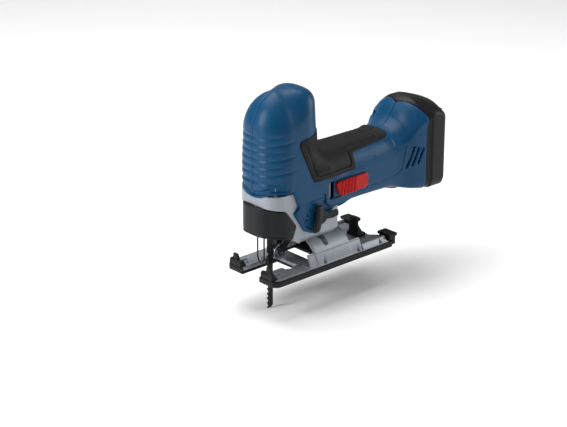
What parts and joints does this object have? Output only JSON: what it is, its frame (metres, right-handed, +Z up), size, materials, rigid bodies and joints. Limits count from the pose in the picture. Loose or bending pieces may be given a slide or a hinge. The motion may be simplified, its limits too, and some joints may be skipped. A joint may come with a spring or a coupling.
{
  "type": "cordless jigsaw",
  "caption": "Cordless body-grip jigsaw with a vertical motor dome, tilting footplate, reciprocating blade, guide roller, orbit lever, switch slider and speed dial.",
  "frame": {"origin": "where the saw blade line meets the plane of the sole", "axes": "+X to the rear of the tool, +Z up along the blade, -Y towards the tool's left side"},
  "size_m": [0.2466, 0.077, 0.236],
  "materials": {
    "shell_blue": "satin moulded glass-filled nylon, mid blue",
    "grip_rubber": "matt overmoulded thermoplastic elastomer",
    "collar_black": "soft matt black bumper",
    "guard_black": "fine-grained black plastic",
    "shoe_black": "hard sliding plastic, worn slightly shiny",
    "control_red": "red moulded plastic",
    "cast_alloy": "bead-blasted die casting",
    "plate_alloy": "die-cast and lightly machined",
    "screw_steel": "black-oxide screw",
    "core_steel": "laminated steel",
    "bearing_steel": "ground and hardened",
    "clamp_steel": "blackened steel",
    "blade_steel": "dark hardened saw steel",
    "wire_black": "black coated spring wire",
    "winding_copper": "enamelled copper",
    "contact_brass": "plated contact",
    "bush_bronze": "sintered bronze",
    "board_green": "potted circuit board",
    "lead_black": "silicone insulation",
    "lead_red": "silicone insulation",
    "seal_rubber": "oiled felt and rubber lip",
    "lamp_lens": "clear moulded lens"
  },
  "bodies": {
    "frame": {"housing_left": "shell_blue", "housing_right": "shell_blue", "grip_left": "grip_rubber", "grip_right": "grip_rubber", "housing_screws": "screw_steel", "battery_collar": "collar_black", "battery_rails": "collar_black", "terminal_block": "guard_black", "terminal_blades": "contact_brass", "board_tray": "cast_alloy", "control_board": "board_green", "switch_module": "guard_black", "dial_potentiometer": "guard_black", "motor_leads": "lead_black", "battery_leads": "lead_red", "motor_stator": "core_steel", "motor_windings": "winding_copper", "bearing_top": "bearing_steel", "bearing_bottom": "bearing_steel", "gear_housing": "cast_alloy", "gear_cover": "cast_alloy", "cover_screws": "screw_steel", "gear_axle": "bearing_steel", "bush_upper": "bush_bronze", "bush_lower": "bush_bronze", "plunger_seal": "seal_rubber", "front_cover": "guard_black", "led_board": "board_green", "led_lens": "lamp_lens", "wire_guard": "wire_black", "fork_pin": "bearing_steel", "clamp_plate": "core_steel", "clamp_screw": "screw_steel"},
    "rotor": {"motor_shaft": "bearing_steel", "rotor_core": "core_steel", "motor_fan": "guard_black", "motor_pinion": "bearing_steel"},
    "crank": {"crank_gear": "bearing_steel", "crank_pin": "bearing_steel", "crank_roller": "bearing_steel", "counterweight": "core_steel"},
    "plunger": {"plunger_rod": "bearing_steel", "clamp_body": "clamp_steel", "saw_blade": "blade_steel"},
    "clamp_ring": {"clamp_sleeve": "clamp_steel"},
    "fork": {"roller_fork": "clamp_steel", "roller_pin": "bearing_steel"},
    "roller": {"guide_roller": "bearing_steel"},
    "orbit_control": {"orbit_lever": "guard_black", "selector_shaft": "bearing_steel"},
    "power_slider": {"slider_left": "control_red", "slider_right": "control_red", "switch_link": "guard_black"},
    "speed_dial": {"dial_wheel": "control_red"},
    "footplate_unit": {"footplate": "plate_alloy", "slide_shoe": "shoe_black", "cap_left": "shoe_black", "cap_right": "shoe_black", "clip_middle": "shoe_black", "clip_corners": "shoe_black"}
  },
  "joints": [
    {"name": "crank_spin", "type": "hinge", "parent": "frame", "child": "crank", "pos_m": [0.013, 0, 0.0995], "axis": [1, 0, 0], "continuous": true},
    {"name": "motor_spin", "type": "hinge", "parent": "frame", "child": "rotor", "pos_m": [0.024, 0, 0.15], "axis": [0, 0, 1], "continuous": true},
    {"name": "plunger_slide", "type": "slide", "parent": "frame", "child": "plunger", "axis": [0, 0, 1], "range_m": [-0.013, 0.013]},
    {"name": "clamp_turn", "type": "hinge", "parent": "plunger", "child": "clamp_ring", "pos_m": [0, 0, 0.051], "axis": [0, 0, 1], "range_deg": [-60, 0], "stiffness_Nm_per_rad": 0.04},
    {"name": "fork_swing", "type": "hinge", "parent": "frame", "child": "fork", "pos_m": [0.026, 0, 0.04], "axis": [0, 1, 0], "range_deg": [-4, 0]},
    {"name": "roller_spin", "type": "hinge", "parent": "fork", "child": "roller", "pos_m": [0.0093, 0, 0.02], "axis": [0, 1, 0], "continuous": true},
    {"name": "orbit_select", "type": "hinge", "parent": "frame", "child": "orbit_control", "pos_m": [0.038, 0, 0.06], "axis": [0, 1, 0], "range_deg": [0, 66]},
    {"name": "power_slide", "type": "slide", "parent": "frame", "child": "power_slider", "axis": [-1, 0, 0], "range_m": [0, 0.008]},
    {"name": "dial_turn", "type": "hinge", "parent": "frame", "child": "speed_dial", "pos_m": [0.161, 0, 0.0585], "axis": [0.2419, 0, 0.9703], "range_deg": [-140, 140]},
    {"name": "plate_tilt", "type": "hinge", "parent": "frame", "child": "footplate_unit", "pos_m": [0.05, 0, 0], "axis": [1, 0, 0], "range_deg": [-45, 45]}
  ],
  "couplings": [
    {"joint": "motor_spin", "follows": "crank_spin", "ratio": 5}
  ]
}
